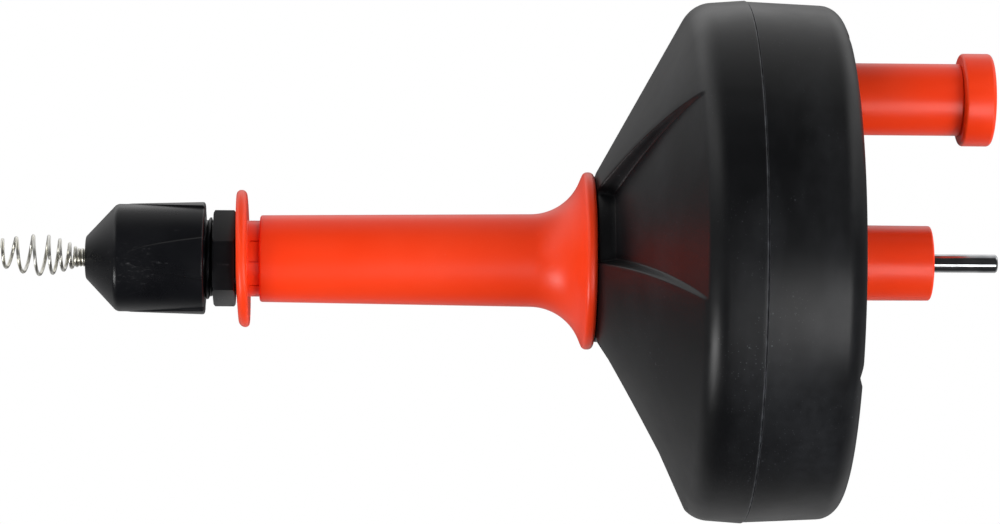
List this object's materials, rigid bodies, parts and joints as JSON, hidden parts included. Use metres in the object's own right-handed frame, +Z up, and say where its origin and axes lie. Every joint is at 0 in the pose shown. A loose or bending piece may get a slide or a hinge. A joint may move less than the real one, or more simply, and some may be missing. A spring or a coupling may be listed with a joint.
{
  "type": "drum drain auger",
  "caption": "Hand-held drum drain auger: red sleeve, black cable drum with crank knob and drill shank, chuck and spring-tipped steel cable.",
  "frame": {"origin": "on the spin axis, in the middle of the hand grip", "axes": "+X along the spin axis from the cable tip to the drill shank, +Z up towards the crank knob"},
  "size_m": [0.3538, 0.1856, 0.1856],
  "materials": {
    "red_plastic": "satin moulded plastic, orange-red",
    "black_plastic": "satin moulded plastic, near black",
    "chuck_plastic": "semi-gloss moulded plastic, black",
    "nylon": "plain moulded nylon",
    "neck_steel": "turned steel",
    "shank_steel": "bright nickel plate",
    "zinc_plate": "bright zinc plate",
    "spring_wire": "bright drawn wire with a slight yellow tint",
    "collet_brass": "turned brass"
  },
  "bodies": {
    "grip": {"grip_sleeve": "red_plastic", "grip_front_flange": "red_plastic", "grip_front_bush": "nylon", "grip_rear_bush": "nylon"},
    "drum": {"front_shell": "black_plastic", "rear_shell": "black_plastic", "neck_tube": "neck_steel", "neck_washer": "zinc_plate", "neck_lock_nut": "zinc_plate", "chuck_body": "chuck_plastic", "thrust_washer": "neck_steel", "drive_hub": "red_plastic", "drive_shank": "shank_steel", "shank_ring": "zinc_plate", "crank_pin": "zinc_plate", "crank_washer": "zinc_plate", "crank_nut": "zinc_plate", "shell_screw_1": "zinc_plate", "shell_screw_2": "zinc_plate", "shell_screw_3": "zinc_plate", "shell_screw_4": "zinc_plate", "hub_screw_1": "zinc_plate", "hub_screw_2": "zinc_plate", "hub_screw_3": "zinc_plate", "cable_coil": "spring_wire", "cable_anchor": "zinc_plate"},
    "collet": {"collet": "collet_brass"},
    "nose": {"nose_nut": "chuck_plastic"},
    "knob": {"knob_sleeve": "red_plastic", "knob_cap": "red_plastic"},
    "cable": {"cable_lead": "spring_wire", "bulb_tip": "spring_wire"}
  },
  "joints": [
    {"name": "drum_spin", "type": "hinge", "parent": "grip", "child": "drum", "pos_m": [0, 0, 0], "axis": [1, 0, 0], "continuous": true},
    {"name": "knob_spin", "type": "hinge", "parent": "drum", "child": "knob", "pos_m": [0.17, 0, 0.0583], "axis": [1, 0, 0], "continuous": true},
    {"name": "collet_slide", "type": "slide", "parent": "drum", "child": "collet", "axis": [1, 0, 0], "range_m": [-0.0024, 0]},
    {"name": "nose_turn", "type": "hinge", "parent": "collet", "child": "nose", "pos_m": [-0.1, 0, 0], "axis": [1, 0, 0], "range_deg": [-350, 0]},
    {"name": "cable_feed", "type": "slide", "parent": "drum", "child": "cable", "axis": [-1, 0, 0], "range_m": [0, 0.12]}
  ],
  "couplings": [
    {"joint": "nose_turn", "follows": "collet_slide", "rad_per_m": 2513.3}
  ]
}
